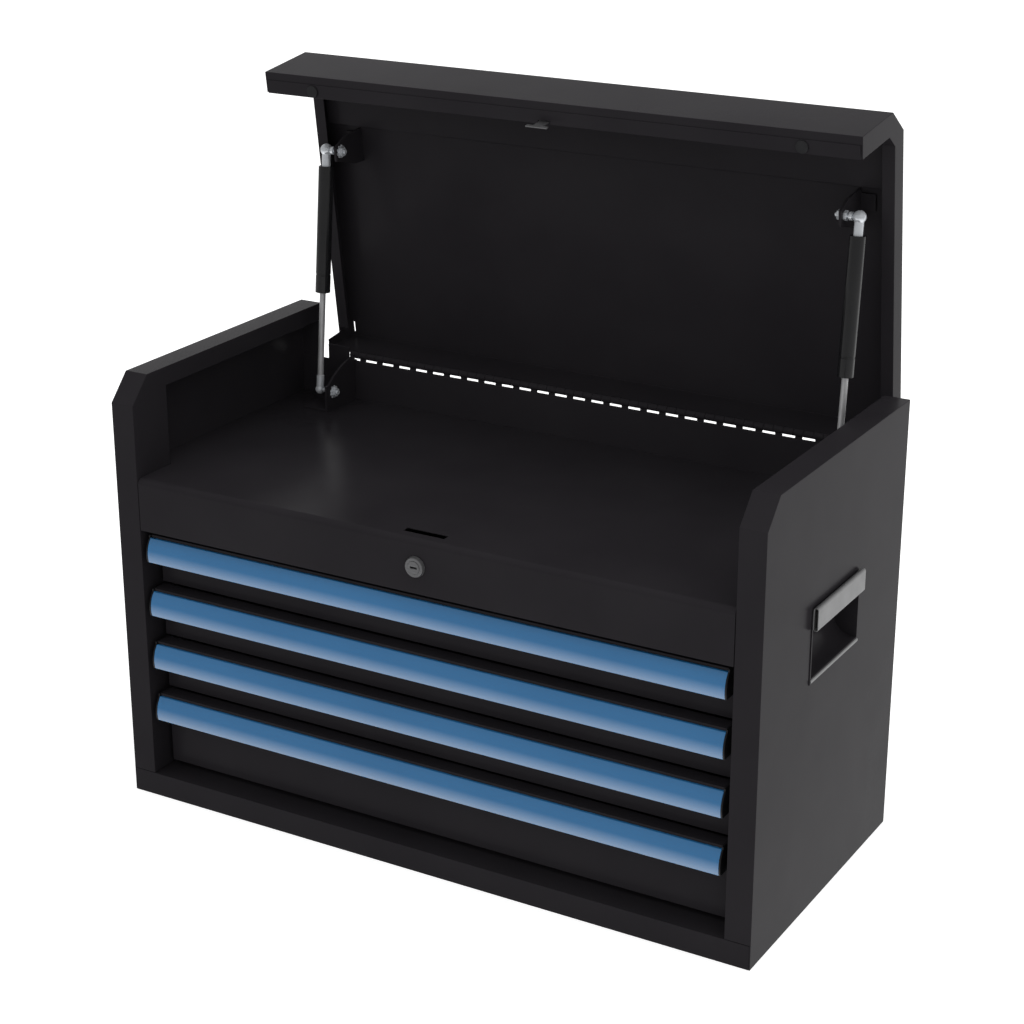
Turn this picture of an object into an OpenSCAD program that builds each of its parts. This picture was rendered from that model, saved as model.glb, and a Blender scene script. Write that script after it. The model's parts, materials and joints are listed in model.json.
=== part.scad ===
// Top tool chest: steel cabinet with four drawers, a tray above them and a lid held open by gas struts.
// X runs across the front, +Y to the back, +Z up. The origin is at the centre of the footprint.
// Pieces are drawn with y = 0 at the front posts, then moved back by half the depth.

/* [Cabinet] */
// Overall width across the side sheets
cab_w = 660; // [560:5:800]
// Overall depth from the front posts to the rear flanges
cab_d = 305; // [290:1:380]
// Height of the side panels
cab_h = 423.5; // [400:0.5:520]
// Thickness of the cabinet's sheet steel
sheet = 1.2; // [0.9:0.1:1.6]
// Width of the side panels' front, top and rear flanges
post_w = 24.7; // [22:0.1:32]
// Set-back of the chamfer at the top of the posts
corner_y = 23; // [15:0.5:30]
// Height of the chamfer at the top of the posts
corner_z = 24.8; // [15:0.1:30]
// Depth of the lip behind each front post
post_lip = 50; // [42:1:60]
// Depth of the lip below each top flange
top_lip = 18; // [12:1:24]
// Height of the front rail below the drawers
rail_h = 23.4; // [18:0.1:30]
// Depth of the shelf on top of the front rail
rail_shelf = 40; // [30:1:60]

/* [Tray] */
// Depth of the tray below the tops of the sides
tray_depth = 95.1; // [90:0.1:110]
// Height of the fascia below the tray
fascia_h = 51.2; // [46:0.1:60]
// Outer radius of the bend between fascia and deck
bend_r = 6; // [3:0.5:9]
// Gap between the deck and each post lip
deck_gap = 0.6; // [0.4:0.1:1.2]
// Length of the slot that takes the lid's striker
slot_w = 42; // [34:1:60]
// Width of the slot that takes the lid's striker
slot_d = 8; // [7:0.5:12]

/* [Drawers] */
// Height from one shallow drawer to the next
pitch = 54.6; // [50:0.2:56]
// Gap above the top drawer
top_gap = 5.2; // [4:0.1:8]
// Gap below the bottom drawer
bottom_gap = 7; // [5:0.5:10]
// Gap between drawers
drawer_gap = 2.1; // [1.5:0.1:4]
// Distance of the drawer faces behind the posts
recess = 22; // [20:0.5:24]
// Gap between a drawer's pull and each post
side_gap = 5.8; // [4:0.1:8]
// Thickness of the drawers' sheet steel
drawer_sheet = 0.9; // [0.7:0.1:1.2]
// Gap behind the drawer boxes
rear_gap = 15.6; // [14:0.2:20]
// Height of each pull
pull_h = 23.2; // [20:0.2:26]
// Depth of each pull's top edge below the top of its drawer
pull_drop = 2.7; // [2:0.1:5]
// Set-back of each pull's top edge behind its front
pull_bulge = 5.5; // [3:0.5:7]
// Height of the foremost line of each pull above its lower edge
pull_belly = 7.6; // [4:0.1:12]
// Wall of each pull
pull_wall = 1.6; // [1.2:0.1:2]
// Thickness of the plugs at the ends of each pull
cap_t = 1.6; // [1.2:0.1:3]

/* [Slides] */
// Thickness of a pair of closed slide members
slide_t = 12.7; // [12:0.1:14]
// Height of the outer slide member
slide_h = 35; // [30:1:36]
// Thickness of the slide members
slide_sheet = 1.2; // [1:0.1:1.4]
// Length of the middle slide member
slide_len = 252; // [230:1:254]

/* [Lid] */
// Angle at which the lid stands open
lid_open = 82.35; // [70:0.05:95]
// Gap between the lid and each side panel's lip
lid_gap = 1.15; // [0.8:0.05:2]
// Depth of the lid's side flanges
lid_flange = 20; // [16:0.5:24]
// Width of the lips on the lid's side flanges
lid_side_lip = 12; // [8:0.5:13]
// Depth of the lid's rear flange
lid_rear = 40.1; // [32:0.1:42]
// Depth of the tabs at the ends of the lid's rear flange
lid_tab = 10.7; // [6:0.1:14]
// Width of the lip under the lid's front wall
lid_lip = 20.4; // [19:0.1:24]
// Height of the rubber bumpers
bumper_h = 1.6; // [1.2:0.1:3]
// Radius of the rubber bumpers
bumper_r = 5.8; // [4:0.1:6]
// Depth of the raised stiffener inside the lid
stiff_depth = 5; // [3:0.5:8]
// Gap between the stiffener and what lies beside it
stiff_gap = 0.5; // [0.3:0.1:2]

/* [Hinge] */
// Radius of the hinge pin
pin_r = 1.5; // [1.2:0.1:2]
// Radius of the hinge knuckles
knuckle_r = 3.5; // [3.2:0.1:4]
// Length of one hinge knuckle
knuckle_len = 10; // [8:0.1:11]
// Number of knuckles on each leaf
knuckle_pairs = 27; // [21:2:27]
// Gap on each side of a knuckle in the notches of the body's leaf
notch_side = 1.5; // [0.4:0.05:2]
// Depth of those notches below the hinge pin
notch_drop = 5.45; // [4.5:0.05:8]
// Thickness of the hinge leaves
leaf_t = 1.2; // [1:0.1:1.6]
// Depth of the hinge pin below the tops of the sides
hinge_drop = 49.55; // [43:0.05:54]
// Distance of the hinge pin behind the cabinet
hinge_out = 0.5; // [0.4:0.1:3]

/* [Struts] */
// Distance of each strut from the lid's side
strut_in = 24.15; // [22:0.05:30]
// Height of the lower ball above the deck
ball_rise = 18.5; // [16:0.5:24]
// Distance of the lower ball in front of the hinge pin
ball_front = 43; // [38:0.5:48]
// Distance of the upper ball behind the lid's front, with the lid shut
lid_ball_y = 91.9; // [86:0.1:98]
// Depth of the upper ball below the lid's top
lid_ball_drop = 40.1; // [36:0.1:44]
// Outer radius of the strut tube
tube_r = 7.5; // [6:0.5:8]
// Wall of the strut tube
tube_wall = 1.2; // [0.9:0.1:1.6]
// Length of the strut tube
tube_len = 126; // [118:1:130]
// Radius of the strut rod
rod_r = 3; // [2.5:0.25:3.5]
// Radius of the ball studs' balls
ball_r = 3.6; // [3.2:0.1:4]
// Thickness of the strut brackets
plate_t = 2.5; // [2:0.1:3]

/* [Handles] */
// Length of the handle's opening
cup_len = 103; // [90:1:120]
// Height of the lower edge of the handle's opening
cup_z = 231; // [200:1:250]
// Height of the handle's opening
cup_h = 62; // [56:1:70]
// Depth of the handle's pocket
cup_depth = 22; // [18:0.5:22.5]
// Thickness of the handle's pocket
cup_wall = 1; // [0.8:0.1:1.5]
// Width of the flange round the handle's opening
cup_rim = 1; // [0.5:0.5:3]
// Width of the flange below the handle's opening
cup_foot = 5; // [3:0.5:8]
// Height of the handle's grip
grip_h = 21.5; // [18:0.5:26]
// Thickness of the handle's grip
grip_t = 5; // [4.5:0.1:7]

/* [Lock] */
// Radius of the lock's head against the fascia
lock_r = 9.8; // [9:0.1:12]
// Radius of the lock's front face
lock_face_r = 8.8; // [7:0.1:9.5]
// Height of the lock's head
lock_head_h = 3.4; // [1.5:0.1:5]
// Height of the lock above the fascia's lower edge
lock_rise = 25.8; // [22:0.1:28]
// Radius of the lock's barrel
barrel_r = 8; // [7:0.1:9]
// Radius of the turning plug
plug_r = 6; // [5:0.1:6.5]
// Radius of the rod that works the drawer lock
link_r = 2.5; // [2:0.1:3]
// Travel of the drawer lock bar
bar_lift = 8; // [6:0.5:9]
// Width of the drawer lock bar
bar_w = 24; // [20:1:36]
// Reach of the lock bar's hooks past the drawers' back walls
tab_reach = 6; // [4:0.5:8]
// Height of the guides of the drawer lock bar
guide_h = 12; // [8:1:16]

/* [Fits] */
// Radial clearance of a pin or shaft in its hole
fit = 0.05; // [0.03:0.01:0.1]
// Clearance between faces that slide
run = 0.3; // [0.2:0.05:0.5]
// Width of the seam where two sheets meet edge to edge
seam = 0.4; // [0.3:0.1:0.8]

/* [Hidden] */
$fn = 48;
drawers = [1, 2, 3, 4];

// Cabinet planes
side_x = cab_w / 2;
web_x = side_x - sheet;
post_x = side_x - post_w;
deck_top = cab_h - tray_depth;
deck_under = deck_top - sheet;
fascia_z = deck_top - fascia_h;
deck_x = post_x - deck_gap;
back_y = cab_d - sheet;
back_front = back_y - sheet;
flange = 15;
deck_flange = 12;
upright_w = 28;
side_profile = [[0, 0], [0, cab_h - corner_z], [corner_y, cab_h], [cab_d, cab_h], [cab_d, 0]];

upright_y = back_front - flange - 2;

// Hinge
hinge_y = cab_d + hinge_out;
hinge_z = cab_h - hinge_drop;
hinge_x = knuckle_pairs * knuckle_len;
back_top = hinge_z - knuckle_r - run;
notch_z = hinge_z - notch_drop;
notch_x = hinge_x - 8;
leaf_h = 22;
ear_x = hinge_x + 0.9;
ear_top = hinge_z + 8;
corner_x = post_x - 9;
corner_low = hinge_z - 7.5;

// Lid, drawn shut
lid_x = post_x - lid_gap;
lip_plate_t = 1;
strut_x = lid_x - strut_in;
bumper_x = strut_x - 30;
bumper_y = 14;
lid_low = deck_top + bumper_h + lip_plate_t;
lid_back = hinge_y + 3.4;
lid_leaf_y = lid_back - sheet - leaf_t;
lid_path = [[0, lid_low], [0, cab_h - corner_z], [corner_y, cab_h], [lid_back, cab_h],
    [lid_back, cab_h - lid_rear]];
lid_under = cab_h - sheet;
lip_step = 7.5;
lip_short = 2;
slit_in = 6;
slit_w = 1.6;

// Lock and striker
lock_z = fascia_z + lock_rise;
slot_y = 17.7;
tongue_t = 1.4;
tongue_y = slot_y + 0.2;
neck_w = 10;
tee_w = 22;
tee_h = 4;
tee_top = lock_z + 16.4;
plug_face = -lock_head_h - 0.3;
key_w = 7;
key_t = 1.8;
key_depth = 4;
claw_in = plug_r + 15;
claw_out = deck_under - lock_z - 0.4;
claw_start = -72;
claw_neck = -52;
claw_end = -15;
link_end = back_front - run - 5;
hanger_y = link_end - 24;
hanger_w = 16;
crank_r = bar_lift / 2 / sin(45);
bar_t = 1.5;
barrel_len = 14;
nut_t = 4;
bar_y = back_front - run - bar_t;
bar_top = deck_top - 15;
guide_gap = 0.3;
guide_side = 4;

// Drawers
pull_x = post_x - side_gap;
box_x = post_x - slide_t;
box_back = cab_d - rear_gap - sheet * 2;
tab_y = box_back - drawer_sheet - tab_reach;
box_drop = 7.5;
function face_top(i) = fascia_z - top_gap - (i - 1) * pitch;
function face_low(i) = i == 4 ? rail_h + bottom_gap : face_top(i) - pitch + drawer_gap;
function wall_top(i) = face_top(i) - box_drop;
function wall_low(i) = face_low(i) + 3;
function slide_z(i) = wall_low(i) + (wall_top(1) - wall_low(1)) / 2;
pull_front = -0.5;
pull_edge = pull_front + pull_bulge;
arc_r = (pow(pull_h - pull_belly, 2) + pow(pull_bulge, 2)) / (2 * pull_bulge);
function pull_top(i) = face_top(i) - pull_drop;
lip_back = 2;
slide_y = recess + 12;
slide_lip = slide_t - 2 * slide_sheet;

// Struts
lower_ball = [hinge_y - ball_front, deck_top + ball_rise];
upper_shut = [lid_ball_y, cab_h - lid_ball_drop];
function opened(p) = let (v = p - [hinge_y, hinge_z])
    [hinge_y + v[0] * cos(lid_open) + v[1] * sin(lid_open),
     hinge_z - v[0] * sin(lid_open) + v[1] * cos(lid_open)];
upper_ball = opened(upper_shut);
strut_v = upper_ball - lower_ball;
strut_len = norm(strut_v);
strut_tilt = -atan2(strut_v[0], strut_v[1]);
socket_gap = 0.3;
upper_socket_r = 6;
collar_r = 3.9;
lower_socket_r = 4.8;
upper_shank = 16;
lower_shank = 14.5;
tube_low = strut_len - upper_shank - tube_len;
cap_h = 8;
plate_x = strut_x - 14;
hex_t = 5.5;
hex_r = 4.6;
stud_r = 2;
stud_nut_t = 4;
bracket_y0 = lid_ball_y - 12;
bracket_y1 = lid_ball_y + 22;
bracket_h = lid_ball_drop - sheet + 8;
bracket_foot = 14;
foot_half = 8;
gusset_foot = 26;
gusset_top = hinge_z + 1;
gusset_swell = 4;

// Handle
cup_y = cab_d / 2 - cup_len / 2;
cup_floor_r = 18;
grip_z = cup_z + cup_h - grip_h + 5;

paint = [0.16, 0.155, 0.165];
blue = [0.27, 0.46, 0.70];
zinc = [0.70, 0.71, 0.73];
chrome = [0.85, 0.86, 0.88];
plastic = [0.08, 0.08, 0.085];
grey = [0.45, 0.45, 0.46];

// ---- helpers ----

function along(a, b) = (b - a) / norm(b - a);
function left_of(a, b) = let (d = along(a, b)) [-d[1], d[0]];
// Point i of a path moved to its left by t, mitred at the corners
function shifted(p, i, t) =
    i == 0 ? p[0] + t * left_of(p[0], p[1])
    : i == len(p) - 1 ? p[i] + t * left_of(p[i - 1], p[i])
    : let (n = left_of(p[i - 1], p[i]), m = left_of(p[i], p[i + 1])) p[i] + t * (n + m) / (1 + n * m);

// Strip of sheet of thickness t beside an open path
module strip(path, t)
    polygon(concat(path, [for (i = [len(path) - 1:-1:0]) shifted(path, i, t)]));

module box(low, high) translate(low) cube(high - low);

// A (y, z) outline drawn along x
module along_x(x0, x1) translate([x0, 0, 0]) rotate([90, 0, 90]) linear_extrude(x1 - x0) children();

// An (x, z) outline drawn along y
module along_y(y0, y1) translate([0, y1, 0]) rotate([90, 0, 0]) linear_extrude(y1 - y0) children();

module rod_x(r, x0, x1, y, z) translate([x0, y, z]) rotate([0, 90, 0]) cylinder(r = r, h = x1 - x0);

module rod_y(r, y0, y1, x, z) translate([x, y1, z]) rotate([90, 0, 0]) cylinder(r = r, h = y1 - y0);

module mirrored() mirror([1, 0, 0]) children();

module pair() {
    children();
    mirrored() children();
}

// Moves a piece from the front-post frame to the footprint frame
module piece(c) color(c) translate([0, -cab_d / 2, 0]) children();

// Turns a piece drawn with the lid shut to the open lid
module lid_piece(c) piece(c) translate([0, hinge_y, hinge_z]) rotate([-lid_open, 0, 0])
    translate([0, -hinge_y, -hinge_z]) children();

// Puts z along the right strut, with z = 0 at the lower ball
module strut_piece(c) piece(c) translate([strut_x, lower_ball[0], lower_ball[1]])
    rotate([strut_tilt, 0, 0]) children();

// ---- cabinet ----

module cup_hole() along_x(web_x - 1, side_x + 1) translate([cup_y, cup_z]) square([cup_len, cup_h]);

module side_panel() {
    low = rail_h + seam;
    difference() {
        union() {
            along_x(web_x, side_x) polygon(side_profile);
            along_x(post_x, side_x)
                strip([[0, low], [0, cab_h - corner_z], [corner_y, cab_h], [cab_d, cab_h]], -sheet);
            along_x(post_x, post_x + sheet)
                polygon([[0, low], [0, cab_h - corner_z], [corner_y, cab_h], [cab_d, cab_h],
                    [cab_d, cab_h - top_lip], [post_lip, cab_h - top_lip], [post_lip, low]]);
            box([post_x, back_y, 0], [side_x, cab_d, cab_h]);
        }
        cup_hole();
    }
}

module left_side_panel() piece(paint) mirrored() side_panel();

module right_side_panel() piece(paint) side_panel();

module back_panel() piece(paint) difference() {
    union() {
        box([-web_x, back_front, 0], [web_x, back_y, ear_top]);
        pair() box([web_x - sheet, back_front - flange, sheet], [web_x, back_front, deck_under - flange]);
    }
    pair() box([corner_x, back_front - 1, corner_low], [side_x, cab_d, cab_h]);
    box([-ear_x, back_front - 1, back_top], [ear_x, cab_d, cab_h]);
    box([-notch_x, back_front - 1, notch_z], [notch_x, cab_d, cab_h]);
}

module base_pan() piece(paint) {
    box([-web_x, sheet, 0], [web_x, back_front, sheet]);
    box([-web_x, 0, 0], [web_x, sheet, rail_h]);
    box([-web_x, 0, rail_h - sheet], [web_x, rail_shelf, rail_h]);
    box([-web_x, rail_shelf - sheet, rail_h - 10], [web_x, rail_shelf, rail_h]);
    box([-web_x + sheet, back_front - sheet, 0], [web_x - sheet, back_front, flange]);
    pair() box([web_x - sheet, rail_shelf + 1, 0], [web_x, upright_y - sheet - seam, flange]);
}

module deck_outline() {
    translate([0, fascia_z]) square([sheet, fascia_h - bend_r]);
    translate([bend_r, deck_top - bend_r]) intersection() {
        difference() {
            circle(bend_r);
            circle(bend_r - sheet);
        }
        translate([-bend_r, 0]) square(bend_r);
    }
    translate([bend_r, deck_under]) square([post_lip + 2 - bend_r, sheet]);
    translate([0, fascia_z]) square([flange, sheet]);
}

module deck() piece(paint) difference() {
    union() {
        along_x(-deck_x, deck_x) deck_outline();
        box([-web_x, post_lip + deck_gap, deck_under], [web_x, back_front, deck_top]);
        pair() box([web_x - sheet, post_lip + deck_gap, deck_top - deck_flange],
            [web_x, upright_y, deck_top]);
        box([-deck_x, back_front - sheet, deck_top - deck_flange], [deck_x, back_front, deck_top]);
    }
    box([-slot_w / 2, slot_y - slot_d / 2, deck_under - 1], [slot_w / 2, slot_y + slot_d / 2, deck_top + 1]);
    rod_y(barrel_r + 0.1, -1, sheet + 1, 0, lock_z);
}

module rear_uprights() piece(zinc) pair() {
    low = sheet;
    high = deck_under;
    box([post_x, upright_y - upright_w, low], [post_x + sheet, upright_y, high]);
    box([post_x, upright_y - sheet, low], [web_x, upright_y, high - deck_flange]);
}

// ---- side handles ----

// Section of the pocket in (x, z), grown by g
module pocket_outline(g) {
    r = cup_floor_r + g;
    x = side_x - cup_depth + cup_floor_r;
    z = cup_z + cup_floor_r;
    translate([side_x - cup_depth - g, z]) square([cup_depth + g, cup_h - cup_floor_r + g]);
    translate([x, cup_z - g]) square([side_x - x, r]);
    intersection() {
        translate([x, z]) circle(r);
        translate([x - r, z - r]) square(r);
    }
}

module handle_cup() difference() {
    union() {
        along_y(cup_y, cup_y + cup_len) pocket_outline(0);
        box([side_x, cup_y - cup_rim, cup_z - cup_foot],
            [side_x + 0.8, cup_y + cup_len + cup_rim, cup_z + cup_h + cup_rim]);
    }
    along_y(cup_y + cup_wall, cup_y + cup_len - cup_wall) pocket_outline(-cup_wall);
    box([side_x - 2, cup_y + cup_wall, cup_z + cup_wall],
        [side_x + 2, cup_y + cup_len - cup_wall, cup_z + cup_h - cup_wall]);
}

module handle_cups() piece(paint) pair() handle_cup();

module stadium(r, h) {
    translate([0, (h / 2 - r)]) circle(r);
    translate([0, -(h / 2 - r)]) circle(r);
    translate([-r, -(h / 2 - r)]) square([2 * r, h - 2 * r]);
}

module handle_grips() piece(grey) pair() along_y(cup_y - cup_rim / 2, cup_y + cup_len + cup_rim / 2)
    translate([side_x + 0.8 + grip_t / 2, grip_z + grip_h / 2]) difference() {
        stadium(grip_t / 2, grip_h);
        stadium(grip_t / 2 - 1, grip_h - 2);
    }

// ---- hinge ----

module hinge_leaf(odd) difference() {
    union() {
        children();
        for (i = [0:knuckle_pairs - 1])
            rod_x(knuckle_r, -hinge_x + (2 * i + odd) * knuckle_len + run / 2,
                -hinge_x + (2 * i + odd + 1) * knuckle_len - run / 2, hinge_y, hinge_z);
    }
    rod_x(pin_r + fit, -hinge_x - 1, hinge_x + 1, hinge_y, hinge_z);
}

module hinge_body_leaf() piece(paint) hinge_leaf(1) difference() {
    box([-hinge_x, back_y, hinge_z - leaf_h - 5], [hinge_x, back_y + leaf_t, hinge_z]);
    for (i = [0:knuckle_pairs - 1])
        translate([-hinge_x + 2 * i * knuckle_len - notch_side, back_y - 1, i == 0 ? back_top : notch_z])
            cube([knuckle_len + 2 * notch_side, leaf_t + 2, cab_h - notch_z]);
}

module hinge_lid_leaf() lid_piece(paint) hinge_leaf(0) difference() {
    box([-hinge_x, lid_leaf_y, hinge_z], [hinge_x, lid_leaf_y + leaf_t, hinge_z + leaf_h]);
    for (i = [0:knuckle_pairs - 1])
        translate([-hinge_x + (2 * i + 1) * knuckle_len, lid_leaf_y - 1, hinge_z - 1])
            cube([knuckle_len, leaf_t + 2, knuckle_r + 2 * run + 1]);
}

module hinge_pin() piece(zinc) rod_x(pin_r, -hinge_x, hinge_x, hinge_y, hinge_z);

// ---- gas struts, drawn on the right ----

gusset_y0 = lower_ball[0] - 12.5;
gusset_y1 = back_front - 2 * run;
gusset_a = [gusset_y0 + 4, lower_ball[1] + 8];
gusset_b = [gusset_y1, gusset_top];

module gusset() difference() {
    union() {
        along_x(plate_x - plate_t, plate_x) polygon(concat([[gusset_y0, deck_top], [gusset_y0, gusset_a[1]]],
            [for (t = [0:0.1:1]) gusset_a + t * (gusset_b - gusset_a)
                + gusset_swell * sin(180 * t) * left_of(gusset_a, gusset_b)], [[gusset_y1, deck_top]]));
        box([plate_x - plate_t, gusset_y0, deck_top],
            [plate_x + gusset_foot, back_front - flange, deck_top + plate_t]);
    }
    rod_x(stud_r + fit, plate_x - plate_t - 1, plate_x + 1, lower_ball[0], lower_ball[1]);
}

module strut_gussets() piece(paint) pair() gusset();

module ball_stud(p, inner) {
    translate([strut_x, p[0], p[1]]) sphere(ball_r);
    rod_x(stud_r, inner, strut_x, p[0], p[1]);
    translate([plate_x, p[0], p[1]]) rotate([0, 90, 0]) cylinder(r = hex_r, h = hex_t, $fn = 6);
}

module stud_nut(p) translate([plate_x - plate_t - stud_nut_t, p[0], p[1]]) rotate([0, 90, 0]) difference() {
    cylinder(r = hex_r, h = stud_nut_t, $fn = 6);
    translate([0, 0, -1]) cylinder(r = stud_r + fit, h = stud_nut_t + 2);
}

module lower_ball_studs() piece(chrome) pair() {
    ball_stud(lower_ball, plate_x - plate_t - 6);
    stud_nut(lower_ball);
}

module upper_stud_nuts() lid_piece(chrome) pair() {
    rod_x(stud_r, plate_x - plate_t - 6, plate_x - 0.1, upper_shut[0], upper_shut[1]);
    stud_nut(upper_shut);
}

module strut_ball() strut_piece(chrome) translate([0, 0, strut_len]) {
    sphere(ball_r);
    translate([-upper_socket_r - 3, 0, 0]) rotate([0, 90, 0]) cylinder(r = collar_r, h = 2.8);
    translate([plate_x - strut_x, 0, 0]) rotate([0, 90, 0]) cylinder(r = hex_r, h = hex_t / 2, $fn = 6);
    translate([plate_x - strut_x, 0, 0]) rotate([0, 90, 0]) cylinder(r = stud_r, h = strut_x - plate_x);
}

// Socket of radius r round a ball, open towards the bracket
module socket(r, shank, shank_r, up) difference() {
    union() {
        sphere(r);
        mirror([0, 0, up ? 0 : 1]) cylinder(r = shank_r, h = shank);
    }
    sphere(ball_r + socket_gap);
    translate([-r - 1, 0, 0]) rotate([0, 90, 0]) cylinder(r = ball_r - 0.5, h = r);
}

module strut_socket() strut_piece(chrome) socket(lower_socket_r, lower_shank, 3.8, true);

module strut_end() strut_piece(chrome) translate([0, 0, strut_len])
    socket(upper_socket_r, upper_shank, 4.3, false);

module strut_rod() strut_piece(chrome) {
    translate([0, 0, lower_shank]) cylinder(r = rod_r, h = tube_low + cap_h + 3 - lower_shank);
    translate([0, 0, tube_low + cap_h + 2]) cylinder(r = tube_r - tube_wall - fit, h = 6);
}

module strut_tube() strut_piece(plastic) translate([0, 0, tube_low]) difference() {
    cylinder(r = tube_r, h = tube_len);
    translate([0, 0, cap_h]) cylinder(r = tube_r - tube_wall, h = tube_len - cap_h - 3);
    translate([0, 0, -1]) cylinder(r = rod_r + fit, h = cap_h + 2);
    translate([0, 0, 18]) difference() {
        cylinder(r = tube_r + 1, h = 0.8);
        cylinder(r = tube_r - 0.4, h = 0.8);
    }
}

module left_strut_rod() mirrored() strut_rod();
module left_strut_socket() mirrored() strut_socket();
module left_strut_tube() mirrored() strut_tube();
module left_strut_end() mirrored() strut_end();
module left_upper_ball() mirrored() strut_ball();
module right_strut_rod() strut_rod();
module right_strut_socket() strut_socket();
module right_strut_tube() strut_tube();
module right_strut_end() strut_end();
module right_upper_ball() strut_ball();

// ---- lid, drawn shut ----

lid_edge = [for (i = [0:2]) shifted(lid_path, i, -lid_flange)];
lid_tab_y = lid_back - lid_tab;

module lid_shell() lid_piece(paint) difference() {
    union() {
        along_x(-lid_x, lid_x) strip(lid_path, -sheet);
        box([-lid_x, 0, lid_low], [lid_x, lip_step, lid_low + sheet]);
        box([-lid_x + lip_short, 0, lid_low], [lid_x - lip_short, lid_lip, lid_low + sheet]);
        pair() {
            along_x(lid_x - sheet, lid_x) polygon(concat(lid_path,
                [[lid_tab_y, cab_h - lid_rear], [lid_tab_y, cab_h - lid_flange], lid_edge[2], lid_edge[1],
                    lid_edge[0]]));
            along_x(lid_x - lid_side_lip, lid_x)
                strip([lid_edge[1], lid_edge[2], [lid_tab_y - 6, cab_h - lid_flange]], sheet);
        }
    }
    pair() box([lid_x - slit_in - slit_w, lid_back - 16, lid_under - 1],
        [lid_x - slit_in, lid_back - 5, cab_h + 1]);
    tongue_notch();
}

module tongue_notch()
    box([-neck_w / 2 - 1, tongue_y - 1, lid_low - 3], [neck_w / 2 + 1, lid_lip + 1, lid_low + 3]);

module lid_stiffener() lid_piece(paint) {
    front = corner_y + sheet + stiff_gap;
    y0 = front + 5;
    rear = bracket_y0 - stiff_gap;
    y1 = rear - 4;
    along_x(-lid_x + lid_side_lip - 6, lid_x - lid_side_lip + 6)
        strip([[front, lid_under], [y0, lid_under], [y0, lid_under - stiff_depth],
            [y1, lid_under - stiff_depth], [y1, lid_under], [rear, lid_under]], -sheet);
}

module lid_lip_plate() lid_piece(paint) difference() {
    box([-lid_x + lip_short, lip_step, lid_low - lip_plate_t], [lid_x - lip_short, lid_lip, lid_low]);
    tongue_notch();
}

module lid_striker() lid_piece(grey) {
    foot = lid_low + sheet;
    box([-tee_w / 2, 4, foot], [tee_w / 2, tongue_y + tongue_t, foot + tongue_t]);
    box([-neck_w / 2, tongue_y, tee_top - 1], [neck_w / 2, tongue_y + tongue_t, foot + tongue_t]);
    box([-tee_w / 2, tongue_y, tee_top - tee_h], [tee_w / 2, tongue_y + tongue_t, tee_top]);
}

module lid_bumpers() lid_piece(plastic) pair() translate([bumper_x, bumper_y, deck_top])
    cylinder(r = bumper_r, h = bumper_h);

module bracket() difference() {
    union() {
        along_x(plate_x - plate_t, plate_x)
            polygon([[bracket_y0, lid_under], [bracket_y1, lid_under],
                [bracket_y1 - 2, lid_under - 16], [lid_ball_y + 8, lid_under - bracket_h],
                [lid_ball_y - 6, lid_under - bracket_h], [bracket_y0, lid_under - 30]]);
        box([plate_x - plate_t, lid_ball_y - foot_half, lid_under - plate_t],
            [plate_x + bracket_foot, lid_ball_y + foot_half, lid_under]);
    }
    rod_x(stud_r + fit, plate_x - plate_t - 1, plate_x + 1, upper_shut[0], upper_shut[1]);
}

module lid_brackets() lid_piece(paint) pair() bracket();

// ---- lock ----

module lock_body() piece(grey) difference() {
    union() {
        translate([0, 0, lock_z]) rotate([90, 0, 0])
            cylinder(r1 = lock_r, r2 = lock_face_r, h = lock_head_h);
        rod_y(barrel_r, 0, barrel_len, 0, lock_z);
    }
    rod_y(plug_r + fit, -lock_head_h - 1, 16, 0, lock_z);
}

module lock_nut() piece(zinc) difference() {
    translate([0, sheet + nut_t, lock_z]) rotate([90, 0, 0])
        cylinder(r = barrel_r + 4, h = nut_t, $fn = 6);
    rod_y(barrel_r + fit, 0, 8, 0, lock_z);
}

module lock_plug() piece(chrome) difference() {
    rod_y(plug_r, plug_face, barrel_len, 0, lock_z);
    box([-key_w / 2, plug_face - 1, lock_z - key_t / 2],
        [key_w / 2, plug_face + key_depth, lock_z + key_t / 2]);
}

// Ring sector from angle a0 to a1, no more than a half turn
module sector(r0, r1, a0, a1) intersection() {
    difference() {
        circle(r1);
        circle(r0);
    }
    polygon([[0, 0], 3 * r1 * [cos(a0), sin(a0)], 3 * r1 * [cos((a0 + a1) / 2), sin((a0 + a1) / 2)],
        3 * r1 * [cos(a1), sin(a1)]]);
}

module lock_cam() piece(zinc) difference() {
    union() {
        rod_y(plug_r - 1, barrel_len, tongue_y + tongue_t, 0, lock_z);
        along_y(tongue_y, tongue_y + tongue_t) translate([0, lock_z]) {
            circle(plug_r);
            sector(plug_r - 1, claw_out, claw_start, claw_neck);
            sector(claw_in, claw_out, claw_start, claw_end);
        }
    }
    rod_y(link_r + fit, 10, tongue_y + 4, 0, lock_z);
}

module lock_rod() piece(zinc) {
    rod_y(link_r, barrel_len, link_end, 0, lock_z);
    along_y(link_end - 2, link_end) translate([0, lock_z]) {
        circle(link_r + 2);
        rotate(135) translate([0, -3]) square([crank_r, 6]);
        rotate(135) translate([crank_r, 0]) circle(3);
    }
    rod_y(2, link_end, back_front - run, -crank_r * cos(45), lock_z + crank_r * sin(45));
}

tab_clear = 1.2;
tab_h = bar_lift + tab_clear + 1.3;

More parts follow.
